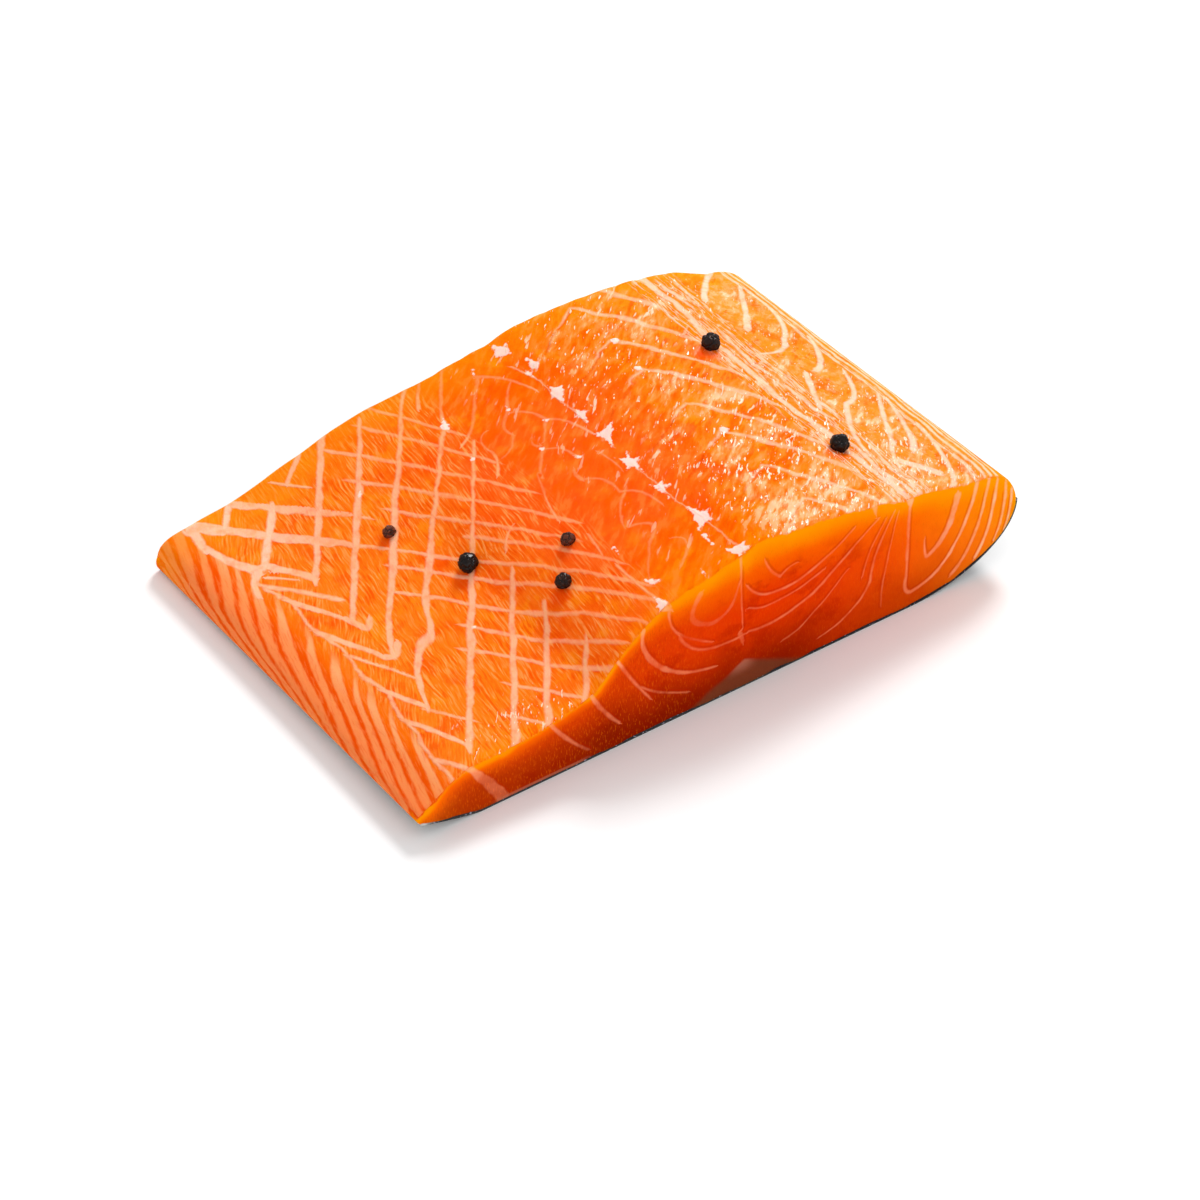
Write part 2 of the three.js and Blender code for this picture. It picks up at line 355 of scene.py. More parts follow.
# Single lines of marbling
# Each is a bow through three points, then its half width at the first and at the last of them.
# On top a point is measured across and along, and on the cuts across and up.
TOP_BOWS = [
    ((9, 113), (11.3, 103.5), (15, 96.5), 0.9, 1.2),
    ((18.3, 93.8), (21.3, 89.2), (24, 83.6), 1.0, 0.9),
    ((36.8, 116.3), (39.5, 118.6), (44, 122), 0.6, 0.6),
    ((14.5, 95), (11.2, 92.5), (10, 88), 1.0, 0.7),
    ((10.5, 124), (9.2, 118), (8.4, 112), 1.9, 0.8),
    ((22, 47.7), (24.4, 46.4), (27, 49.5), 0.85, 0.9),
    ((21.8, 66), (23, 62), (24.2, 58.8), 0.85, 0.85),
    ((24.2, 58.8), (25.2, 59.6), (26.6, 61.8), 0.85, 0.6),
    ((63, 53), (65.5, 56), (68.5, 57.5), 0.35, 0.2),
    ((78, 4), (77.3, 14), (77.4, 25), 0.35, 0.25),
    ((79, 39), (78.4, 35.5), (77, 30), 0.3, 0.15),
    ((88, 33.8), (92.6, 30), (87.8, 25.2), 0.3, 0.45),
    ((87.8, 25.2), (84, 20), (80.4, 15), 0.25, 0.1),
    ((90.6, 57), (94, 52.5), (94.2, 46.2), 0.35, 0.35),
    ((94.2, 46.2), (98, 41.5), (98.9, 34), 0.35, 0.2),
    ((76, 91.5), (82, 95.5), (88, 103), 0.4, 0.35),
    ((88, 103), (92.3, 108), (94.8, 111.4), 0.3, 0.55),
    ((94.8, 111.8), (100, 104.5), (103, 95), 0.45, 0.2),
    ((81, 79.6), (85, 81.3), (88.2, 85.5), 0.2, 0.35),
    ((93, 92.8), (96.6, 88.5), (97.8, 83.2), 0.4, 0.4),
    ((97.8, 83.2), (101.5, 78.3), (103, 70), 0.4, 0.25),
    ((160.7, 25), (163.6, 35), (171.5, 47), 0.45, 0.75),
    ((171.5, 47), (177.5, 50.5), (183, 61.5), 0.8, 0.5),
    ((162, 46.5), (165.3, 53.5), (170.5, 63), 0.4, 0.95),
    ((164.5, 16.5), (168, 23.5), (171.3, 27), 0.4, 0.9),
    ((171.3, 27), (176.5, 36), (184, 48), 0.8, 0.5),
    ((174.5, 22), (180, 31), (184.8, 45), 1.0, 0.5),
    ((173, 4), (179.5, 14), (184.5, 32), 0.75, 0.5),
    ((166.8, 18.5), (170.5, 14.5), (173.3, 10.5), 1.1, 1.4),
    ((175, 64), (180.8, 69), (185.5, 80), 1.05, 0.5),
    ((164, 74.5), (172, 75.5), (177, 80.5), 0.3, 0.9),
    ((177, 80.5), (182, 87), (185, 97), 0.9, 0.5),
    ((169, 87), (175, 95), (184, 109), 1.1, 0.6),
    ((166.5, 103), (172, 110), (181, 119), 1.0, 0.8),
]
FINE_TOP_BOWS = [
    ((14, 95.6), (16.5, 96.4), (18.3, 93.8), 1.3, 1.1),
    ((11, 121), (13.5, 117.5), (15.5, 115), 1.2, 1.4),
    ((34, 120), (37, 115), (40, 110.5), 0.35, 0.3),
    ((15, 92.5), (18, 89), (20.5, 86), 0.45, 0.2),
    ((94.6, 44.6), (91.5, 42), (88.2, 38), 0.35, 0.12),
    ((88.6, 37.8), (87.6, 36.5), (87, 34), 0.4, 0.1),
    ((93, 22.5), (94.8, 18.5), (88.6, 12.5), 0.15, 0.35),
    ((91.3, 62), (90.4, 60), (90.2, 57.4), 0.3, 0.6),
    ((99.7, 63), (100.2, 56), (99.5, 52), 0.25, 0.1),
    ((76.8, 49), (79.2, 57), (83.6, 67.5), 0.3, 0.2),
    ((78.2, 104), (83, 111.5), (90, 121), 0.5, 0.3),
    ((76, 112), (78.6, 116), (82, 120.5), 0.45, 0.35),
    ((93, 94.8), (95.5, 98.8), (100.3, 103.2), 0.45, 0.15),
    ((88.2, 85.5), (88.4, 89.5), (92.6, 94), 0.3, 0.45),
    ((83.4, 65), (86, 69.3), (90, 74.5), 0.45, 0.4),
    ((90.2, 76), (89.4, 77.5), (89.7, 79), 0.3, 0.15),
    ((90.6, 74.4), (94, 71.3), (94.6, 65.5), 0.3, 0.3),
    ((92, 77), (95.5, 80.6), (97.4, 83), 0.12, 0.5),
    ((76, 75), (79.5, 80.5), (80, 85), 0.4, 0.25),
    ((80, 85), (81, 89.5), (84, 91.6), 0.25, 0.15),
]
CUT_BOWS = [
    ((15.5, 15.5), (20.5, 9), (25.5, 1.5), 0.7, 1.7),
    ((41, 16.5), (46, 9.5), (52, 3.5), 0.5, 0.35),
    ((53, 20.5), (57, 13.5), (62, 7), 0.6, 0.35),
    ((62, 26), (67, 17.5), (72, 10), 0.4, 0.25),
    ((70.5, 31.5), (71, 24.5), (77, 17), 0.5, 0.65),
    ((77, 17), (83, 13.2), (93, 10.5), 0.6, 0.25),
    ((88.5, 35), (86, 28.5), (91.5, 24.3), 0.7, 0.6),
    ((91.5, 24.3), (97.5, 26.3), (101.3, 33.5), 0.5, 0.3),
    ((82, 24.5), (89, 17.5), (103, 16.3), 0.4, 0.25),
    ((103.5, 31), (112, 25), (126, 27), 0.2, 0.35),
    ((126, 27), (133, 30), (139, 33.5), 0.35, 0.15),
    ((104, 16.5), (118, 16.8), (132, 23), 0.3, 0.35),
    ((132, 23), (140, 28.5), (147, 33), 0.3, 0.15),
    ((127, 4), (138, 7.8), (144.5, 14.5), 0.15, 0.35),
    ((144.5, 14.5), (147, 23.5), (152.5, 33), 0.35, 0.15),
    ((158, 32.5), (157.3, 20), (156.7, 9.5), 0.35, 0.4),
    ((156.7, 9.5), (157, 6.2), (158.8, 4.8), 0.4, 0.45),
    ((158.8, 4.8), (172.5, 11.5), (181.6, 31), 0.45, 0.5),
    ((163, 20), (163.1, 16.5), (163.9, 13.6), 0.15, 0.45),
    ((163.9, 13.6), (170.7, 18.8), (174.3, 29), 0.5, 1.0),
    ((181.5, 6), (186, 15), (188.5, 28), 0.4, 0.4),
    ((191.5, 11), (193.2, 17), (193.6, 23), 0.25, 0.35),
    ((74.6, 38.5), (77, 36), (79.4, 34), 1.2, 0.3),
    ((158, 36), (158, 34), (158.1, 32), 1.7, 0.3),
    ((145.8, 38), (146, 36.5), (146.1, 35), 1.1, 0.3),
]
FINE_CUT_BOWS = [
    ((69, 15), (76, 10), (84, 6.5), 0.3, 0.25),
    ((79, 35), (80.5, 27), (92, 18.5), 0.4, 0.25),
    ((101.5, 41), (101.5, 32), (102, 19), 0.3, 0.2),
    ((101.3, 16.8), (101.8, 15.5), (102, 14), 0.7, 0.5),
    ((109.5, 36), (111.3, 32.2), (114.3, 29), 0.25, 0.3),
    ((114.3, 29), (117, 30.6), (120, 31), 0.3, 0.1),
    ((104, 24), (114, 21.8), (129, 25), 0.2, 0.25),
    ((115, 8.5), (125, 12.8), (137, 21.5), 0.25, 0.15),
    ((142, 17), (144.5, 24), (149.5, 32), 0.2, 0.15),
    ((148.5, 5), (149.8, 16), (154, 32), 0.25, 0.15),
    ((173, 4), (181, 13.5), (185.4, 30), 0.45, 0.4),
    ((188, 9), (190.5, 16), (191.5, 26), 0.3, 0.4),
]
BOW_STEPS = 12
BOW_REACH = 9.0


def nearest_bow(across, up, bows):
    """Signed distance to the nearest bow, plain distance, and half its width there."""
    found = np.tile((BOW_REACH, BOW_REACH, NO_LINE), (len(across), 1))
    points = np.stack([across, up], axis=1)
    t = np.linspace(0, 1, BOW_STEPS + 1)[:, None]
    for start, middle, end, thick, tip in bows:
        pull = 2 * np.array(middle) - (np.array(start) + end) / 2
        path = (1 - t) ** 2 * start + 2 * t * (1 - t) * pull + t * t * np.array(end)
        low, high = path.min(axis=0) - BOW_REACH, path.max(axis=0) + BOW_REACH
        close = np.flatnonzero(((points > low) & (points < high)).all(axis=1))
        for i, (corner, step) in enumerate(zip(path, np.diff(path, axis=0))):
            away = points[close] - corner
            share = np.clip(away @ step / (step @ step), 0, 1)
            distance = np.linalg.norm(away - share[:, None] * step, axis=1)
            side = np.sign(step[0] * away[:, 1] - step[1] * away[:, 0])
            half = mix(thick, tip, (i + share) / BOW_STEPS)
            nearer = distance < found[close, 1]
            kept = np.stack([side * distance, distance, half], axis=1)
            found[close[nearer]] = kept[nearer]
    return found


# Fat spots: where each lies, the size of its middle, and where its prongs end
SPOTS = [
    ((102.3, 7), 1.7, [(100, 9.8), (105.4, 8.3), (106, 5.2), (101.6, 3.5)]),
    ((103, 23), 2.1, [(102.9, 30), (99.7, 19.5), (105.8, 24), (104.6, 20.2)]),
    ((102.4, 40), 1.2, [(101, 42.4), (105.2, 38.3), (101.8, 34), (104.3, 41.5)]),
    ((103, 53.4), 1.5, [(101.2, 58.5), (104.8, 57.6), (106.4, 52.5), (100.4, 51.6), (102.9, 47.5)]),
    ((105.3, 67), 1.8, [(102.6, 70.6), (109.3, 69.6), (103.4, 61.6), (107.4, 66)]),
    ((105.4, 78), 1.1, [(105.3, 81.4), (107.2, 78), (104.5, 74.4), (103.6, 78.6)]),
    ((106, 90), 1.9, [(106, 94.2), (108.8, 91), (103.5, 89.3), (104.8, 84.6)]),
    ((108, 103), 1.4, [(108, 107.2), (110.2, 103.5), (106, 101.8)]),
    ((105.2, 102), 0.6, [(105.1, 105), (105.4, 98.5)]),
    ((105.5, 115), 1.9, [(104.9, 120), (108.4, 116.6), (106.6, 112), (103, 114.4)]),
    ((99.4, 17.5), 0.2, [(99, 13)]),
    ((77.3, 5.5), 1.3, [(77.6, 9.5), (76, 4)]),
    ((80, 13.4), 0.9, [(79.2, 15.4), (82, 12.4)]),
    ((80.7, 30), 0.7, [(80.2, 27.5)]),
    ((91, 5.5), 0.5, [(91.5, 8), (90.6, 3.4)]),
    ((77.1, 101), 1.3, [(78.6, 104), (76.6, 97.6)]),
    ((94.7, 112.6), 0.5, [(95.4, 114.5), (93.6, 112)]),
    ((93.1, 94.4), 0.7, [(93.2, 96.6), (92.2, 92.6)]),
    ((90.2, 74.9), 0.7, [(91.4, 75.6), (89.2, 74)]),
    ((97.9, 83.1), 0.6, [(96.8, 84)]),
    ((94.8, 64.6), 0.6, [(94.5, 67.5), (96.6, 64)]),
    ((131, 49.6), 1.3, [(130, 48)]),
    ((131.4, 98), 1.2, [(130, 97)]),
    ((128.6, 84), 1.0, [(127.4, 84.6)]),
    ((44.6, 41), 0.6, [(45.2, 40.4)]),
    ((75, 85), 0.7, [(75.5, 86.5)]),
    ((47.6, 98), 0.5, [(48.5, 99)]),
]
SPOT_PRONG = 0.55
SPOT_TIP = 0.12
SPOT_RAG = 0.3
SPOT_REACH = 9.0
NO_SPOT = -3.0


def spot_depth(x, y):
    """How far inside a fat spot each point lies; the spots are ragged, with prongs."""
    deepest = np.full_like(x, -SPOT_REACH)
    for middle, size, tips in SPOTS:
        away = np.stack([x - middle[0], y - middle[1]], axis=1)
        deepest = np.maximum(deepest, size - np.linalg.norm(away, axis=1))
        for tip in tips:
            step = np.array(tip) - middle
            share = np.clip(away @ step / (step @ step), 0, 1)
            off = np.linalg.norm(away - share[:, None] * step, axis=1)
            half = mix(max(size * 0.8, SPOT_PRONG), SPOT_TIP, share ** 0.7)
            deepest = np.maximum(deepest, half - off)
    return deepest + SPOT_TIP + SPOT_RAG * patchy(x, y, 1.2, 31)


def painted_pepper_shadow(x, y):
    """Painted shadow: redder, darker flesh under each peppercorn and beside it, towards the belly
    edge and the thick cut.
    """
    deepest = np.zeros_like(x)
    for px, py, diameter, _ in PEPPERCORNS:
        away = np.hypot(x - px + 0.5 * diameter, y - py + 0.45 * diameter) / diameter
        deepest = np.maximum(deepest, 1 - smooth_step(away, 0.3, 0.95))
    return deepest


def add_object(name, data):
    item = bpy.data.objects.new(name, data)
    bpy.context.scene.collection.objects.link(item)
    return item


def smooth_piece(name, bm):
    """Mesh object from a bmesh, with smooth shading."""
    for face in bm.faces:
        face.smooth = True
    mesh = bpy.data.meshes.new(name)
    bm.to_mesh(mesh)
    bm.free()
    return add_object(name, mesh)


def cut_block(name, counts, fine_rows=1):
    """Closed block, cut into a grid on every face, with its rows finer on top."""
    bm = bmesh.new()
    bmesh.ops.create_cube(bm, size=1, matrix=Matrix.Translation((0.5, 0.5, 0.5)))
    for axis, count in enumerate(counts):
        across = [e for e in bm.edges if abs(e.verts[0].co[axis] - e.verts[1].co[axis]) > 0.5]
        bmesh.ops.subdivide_edges(bm, edges=across, cuts=count - 1, use_grid_fill=True)
    if fine_rows > 1:
        rows = [e for e in bm.edges if min(v.co.z for v in e.verts) > 0.999
                and abs(e.verts[0].co.y - e.verts[1].co.y) > 0.5 / counts[1]]
        bmesh.ops.subdivide_edges(bm, edges=rows, cuts=fine_rows - 1, use_grid_fill=True)
    bmesh.ops.recalc_face_normals(bm, faces=bm.faces)
    return smooth_piece(name, bm)


def vertex_places(mesh):
    places = np.empty(len(mesh.vertices) * 3)
    mesh.vertices.foreach_get("co", places)
    return places.reshape(-1, 3)


def move_vertices(mesh, places):
    mesh.vertices.foreach_set("co", places.astype(np.float32).ravel())
    mesh.update()


def keep_value(mesh, name, values):
    kind = "FLOAT" if values.ndim == 1 else "FLOAT_VECTOR"
    attribute = mesh.attributes.new(name, kind, "POINT")
    values = values.astype(np.float32).ravel()
    attribute.data.foreach_set("value" if kind == "FLOAT" else "vector", values)


def fine_relief(x, y):
    """Torn, wet grain of the loin and the soft waves of the flap."""
    run = x * math.cos(GRAIN_SLANT) + y * math.sin(GRAIN_SLANT)
    cross = -x * math.sin(GRAIN_SLANT) + y * math.cos(GRAIN_SLANT)
    torn = patchy(run / 3.2, cross, 1.9, 11) + 0.6 * patchy(run / 2.4, cross, 1.0, 12)
    torn_share = between(x, 112, 172, 10) * (0.45 + 0.55 * (1 - smooth_step(y, 55, 100)))
    waves = patchy(x, y / 1.7, 7.5, 13)
    dents = patchy(x + y, 1.2 * (y - x), 6.5, 14) + 0.6 * patchy(x, y, 3.1, 15)
    dents = DENT_DEPTH * dents * between(x, 88, 158, 8)
    waves = WAVE_DEPTH * waves * between(x, 15, 185, 10)
    return GRAIN_DEPTH * torn * torn_share + dents + waves


def crowded(share, amount):
    """Shares of a length, crowded towards both of its ends."""
    return share - amount * np.sin(2 * math.pi * share) / (2 * math.pi)


def shape_flesh():
    piece = cut_block("fillet_flesh", (COLUMNS, COARSE_ROWS, LAYERS), FINE_ROWS)
    mesh = piece.data
    u, v, w = vertex_places(mesh).T
    near_or_far = (v < TINY) | (v > 1 - TINY)
    back_edge = u > 1 - TINY
    on_top = w > 1 - TINY

    flat = 1 - SHOULDER_SHARE
    turn = np.clip((u - flat) / SHOULDER_SHARE, 0, 1) * math.pi / 2
    x = np.where(u < flat, SHOULDER[1] * u / flat,
                 SHOULDER[1] + (FLESH_WIDTH - SHOULDER[1]) * np.sin(turn))
    v = crowded(v, ROW_CROWDING)
    w = crowded(w, LAYER_CROWDING)

    true_y = along(x, v, top_height(x, v))
    spots = spot_depth(x, true_y)
    extra = fine_relief(x, true_y) + SPOT_SWELL * smooth_step(spots, -0.3, 1.0)
    top = top_height(x, v, extra)
    under = under_height(x, v, SKIN - SKIN_OVERLAP) - back_edge * BACK_EDGE / 2
    z = mix(under, top, w)
    depth = top - z
    cut = np.where(near_or_far & ~on_top, 1.0, 0.0)

    length = mix(BELLY_LENGTH, BACK_LENGTH, x / WIDTH)
    from_cut = np.minimum(v, 1 - v) * length
    over = np.clip(1 - from_cut / CUT_EDGE, 0, 1) * math.pi / 4
    down = np.clip(1 - depth / CUT_EDGE, 0, 1) * math.pi / 4
    z = z - CUT_EDGE * np.where(on_top, 1 - np.cos(over), near_or_far * (1 - depth / CUT_EDGE
                                - np.sin(down)) * (depth < CUT_EDGE))
    shift = np.where(on_top, (1 - from_cut / CUT_EDGE - np.sin(over)) * (from_cut < CUT_EDGE),
                     near_or_far * (1 - np.cos(down))) * CUT_EDGE
    shift = shift + CUT_WAVES * patchy(x, z, 6, 21) * cut
    shift = shift * np.where(v < 0.5, 1, -1)
    x = np.where(u < TINY, x + BELLY_BULGE * (2 * w - 1) ** 2, x)
    places = placed(x, v, z)
    places[:, 1] += shift * MM
    move_vertices(mesh, places)

    y = places[:, 1] / MM + BELLY_LENGTH / 2
    for name, values in Marbling(x, y, z, cut).draw().items():
        keep_value(mesh, name, values)
    keep_value(mesh, "spots", np.where(cut > 0.5, NO_SPOT, spots))
    # Painted shadow of the peppercorns, on top only
    keep_value(mesh, "stain", painted_pepper_shadow(x, y) * (1 - cut))
    keep_value(mesh, "cut", cut)
    keep_value(mesh, "depth", depth)
    keep_value(mesh, "inland", np.where(on_top, from_cut, 0))
    return piece


def shape_skin():
    piece = cut_block("fillet_skin", SKIN_GRID)
    mesh = piece.data
    u, v, w = vertex_places(mesh).T
    inwards = SKIN * w
    start = mix(*CURL_START, v)
    back = mix(*BACK_HEIGHT, v)
    turn = np.clip((u - FLAT_SHARE) / (1 - FLAT_SHARE), 0, 1) * math.pi / 2
    level_x = mix(SKIN_INSET, start, np.minimum(u / FLAT_SHARE, 1))
    curled = u > FLAT_SHARE
    x = np.where(curled, start + (WIDTH - inwards - start) * np.sin(turn), level_x)
    z = np.where(curled, back - (back - inwards) * np.cos(turn), inwards + lift(level_x, v))
    places = placed(x, v, z)
    move_vertices(mesh, places)
    keep_value(mesh, "across", x)
    keep_value(mesh, "rim", (np.minimum(v, 1 - v) * BELLY_LENGTH < SKIN_RIM) & (x > RIM_START))
    return piece


def shape_peppercorns():
    """Whole dried berries, wrinkled into a net of ridges."""
    # Without a seed of its own, noise_vector would wrinkle them differently in each run
    noise.seed_set(PEPPER_SEED)
    bm = bmesh.new()
    brown = bm.verts.layers.float.new("brown")
    crease = bm.verts.layers.float.new("crease")
    for k, (x, y, diameter, shade) in enumerate(PEPPERCORNS):
        v = y / mix(BELLY_LENGTH, BACK_LENGTH, x / WIDTH)
        height = top_height(np.array([float(x)]), np.array([v]))[0]
        radius = diameter / 2
        middle = height + diameter * (0.5 - PEPPER_SINK)
        centre = Vector((x - WIDTH / 2, y - BELLY_LENGTH / 2, middle))
        berry = bmesh.ops.create_icosphere(bm, subdivisions=PEPPER_FINENESS, radius=1)
        for vert in berry["verts"]:
            out = vert.co.normalized()
            bent = out + 0.3 * noise.noise_vector(out * 2.0 + Vector((k, 0.7, 2.2)))
            near = noise.voronoi(bent * 1.25 + Vector((7.3 * k, 1.9, 4.1)))[0]
            valley = (1 - min(1.0, (near[1] - near[0]) * 3.0)) ** 3
            lumps = noise.noise(out * 1.7 + Vector((k, 3.3, 0)))
            swell = 1.0 - WRINKLE_DEPTH * valley + LUMP_HEIGHT * lumps
            out = Vector((out.x * (1 + 0.14 * shade), out.y * (1 - 0.1 * shade), out.z))
            vert.co = (centre + out * radius * swell) * MM
            vert[brown] = shade
            vert[crease] = valley
    return smooth_piece("peppercorns", bm)


# Materials
# The widest that half a line and its blur may be, as shares of the distance between lines
HALF_LINE_SHARE = 0.33
BLUR_SHARE = 0.15


def paint(red, green, blue):
    """A colour as the eye reads it, 0 to 255, for a shader socket."""
    return tuple(((c / 255 + 0.055) / 1.055) ** 2.4 if c > 10 else c / 3295 for c in
                 (red, green, blue)) + (1,)


def operators(operation):
    """A Math operation as an operator of Value, and its reflected form."""
    def forward(first, second):
        return first.finish.maths(operation, first, second)

    def reflected(second, first):
        return second.finish.maths(operation, first, second)

    return forward, reflected


class Value:
    """A socket of a material that takes part in sums; | gives the larger of two."""

    def __init__(self, finish, socket):
        self.finish = finish
        self.socket = socket

    def __abs__(self):
        return self.finish.maths("ABSOLUTE", self)

    __add__, __radd__ = operators("ADD")
    __sub__, __rsub__ = operators("SUBTRACT")
    __mul__, __rmul__ = operators("MULTIPLY")
    __truediv__, __rtruediv__ = operators("DIVIDE")
    __or__, __ror__ = operators("MAXIMUM")


class Finish:
    """A material in the making: each call adds a node and gives back its result."""

    def __init__(self, name):
        self.material = bpy.data.materials.new(name)
        self.material.use_nodes = True
        self.tree = self.material.node_tree
        self.tree.nodes.clear()
        self.place = self.node("ShaderNodeTexCoord", output="Object")

    def node(self, kind, settings=None, inputs=None, output=0):
        node = self.tree.nodes.new(kind)
        for key, value in (settings or {}).items():
            if key == "stops":
                self.set_stops(node.color_ramp, value)
            else:
                setattr(node, key, value)
        for key, value in (inputs or {}).items():
            if isinstance(value, Value):
                self.tree.links.new(value.socket, node.inputs[key])
            else:
                node.inputs[key].default_value = value
        return None if output is None else Value(self, node.outputs[output])

    @staticmethod
    def set_stops(ramp, stops):
        while len(ramp.elements) < len(stops):
            ramp.elements.new(0.5)
        for element, (position, colour) in zip(ramp.elements, stops):
            element.position = position
            element.color = colour

    def maths(self, operation, *values):
        return self.node("ShaderNodeMath", {"operation": operation}, dict(enumerate(values)))

    def blend(self, amount, first, second):
        sockets = {0: amount, 6: first, 7: second}
        return self.node("ShaderNodeMix", {"data_type": "RGBA"}, sockets, 2)

    def ramp(self, position, stops):
        stops = [(at, paint(*colour)) for at, colour in stops]
        return self.node("ShaderNodeValToRGB", {"stops": stops}, {"Fac": position})

    def smooth(self, value, low, high):
        """0 below low, 1 above high, and smooth between them."""
        return self.node("ShaderNodeMapRange", {"interpolation_type": "SMOOTHSTEP"},
                         {0: value, 1: low, 2: high, 3: 0.0, 4: 1.0})

    def band(self, value, low, high, fade):
        return self.smooth(value, low - fade, low) * self.smooth(value, high + fade, high)

    def stored(self, name):
        return self.node("ShaderNodeAttribute", {"attribute_name": name}, output="Fac")

    def parts(self, vector):
        split = self.node("ShaderNodeSeparateXYZ", None, {0: vector})
        return [Value(self, output) for output in split.socket.node.outputs]

    def stored_row(self, name):
        return self.parts(self.node("ShaderNodeAttribute", {"attribute_name": name},
                                    output="Vector"))

    def swayed(self, reach, size):
        """Object coordinates, swayed by up to a reach over a size, both in millimetres."""
        drift = self.node("ShaderNodeTexNoise", None, {
            "Vector": self.place, "Scale": 1 / (size * MM), "Detail": 1.0}, output="Color")
        drift = self.node("ShaderNodeVectorMath", {"operation": "MULTIPLY_ADD"}, {
            0: drift, 1: (2 * reach * MM,) * 3, 2: (-reach * MM,) * 3})
        return self.node("ShaderNodeVectorMath", {"operation": "ADD"}, {0: self.place, 1: drift})

    def stretched(self, size, turn, place=None):
        """Coordinates, turned and then counted in sizes in millimetres across, along and up."""
        size = size if isinstance(size, tuple) else (size,) * 3
        return self.node("ShaderNodeMapping", {"vector_type": "TEXTURE"}, {
            "Vector": place or self.place, "Rotation": (0, 0, math.radians(turn)),
            "Scale": tuple(s * MM for s in size)})

    def grain(self, size, turn=0.0, detail=2.0, roughness=0.5, place=None):
        """Noise between 0 and 1, with grains of one size or of three, in millimetres."""
        return self.node("ShaderNodeTexNoise", None, {
            "Vector": self.stretched(size, turn, place), "Scale": 1.0, "Detail": detail,
            "Roughness": roughness})

    def line(self, name, wander, ragged, blur):
        """How much of a line of one row of marbling shows."""
        phase, spacing, half = self.stored_row(name)
        cycle = self.maths("FRACT", phase + wander / spacing + 0.5)
        away = abs(cycle - 0.5) * spacing
        half = self.maths("MINIMUM", half * ragged, spacing * HALF_LINE_SHARE)
        blur = self.maths("MINIMUM", spacing * BLUR_SHARE, blur)
        return self.smooth(away, half + blur, half - blur)

    def surface(self, bump, **inputs):
        """The shader itself, with a list of (height, depth in millimetres) for its bumps."""
        normal = None
        for height, depth in bump:
            sockets = {"Height": height, "Distance": depth * MM, "Strength": 1.0}
            if normal:
                sockets["Normal"] = normal
            normal = self.node("ShaderNodeBump", None, sockets)
        named = {key.replace("_", " "): value for key, value in inputs.items()}
        if normal:
            named["Normal"] = normal
        shader = self.node("ShaderNodeBsdfPrincipled", {"subsurface_method": "RANDOM_WALK"}, named)
        self.node("ShaderNodeOutputMaterial", inputs={"Surface": shader}, output=None)
        return self.material


# Colours of the flesh from the belly edge to the back
TOP_COLOURS = [
    (0.00, (240, 96, 16)), (0.05, (252, 122, 24)), (0.20, (252, 120, 18)),
    (0.33, (251, 103, 14)), (0.40, (249, 95, 8)), (0.47, (251, 97, 3)),
    (0.57, (252, 104, 4)), (0.66, (254, 120, 12)), (0.80, (254, 132, 28)),
    (0.90, (254, 138, 36)), (1.00, (253, 132, 24)),
]
CUT_COLOURS = [
    (0.00, (250, 104, 10)), (0.08, (222, 72, 4)), (0.25, (220, 64, 2)),
    (0.42, (224, 58, 2)), (0.55, (228, 54, 0)), (0.68, (228, 60, 2)),
    (0.80, (240, 82, 4)), (0.92, (253, 112, 10)), (1.00, (254, 132, 18)),
]
PALE_FAT = paint(255, 184, 146)
PINK_FAT = paint(246, 126, 80)
CREAM_FAT = paint(254, 206, 176)
SPOT_FAT = paint(255, 216, 204)


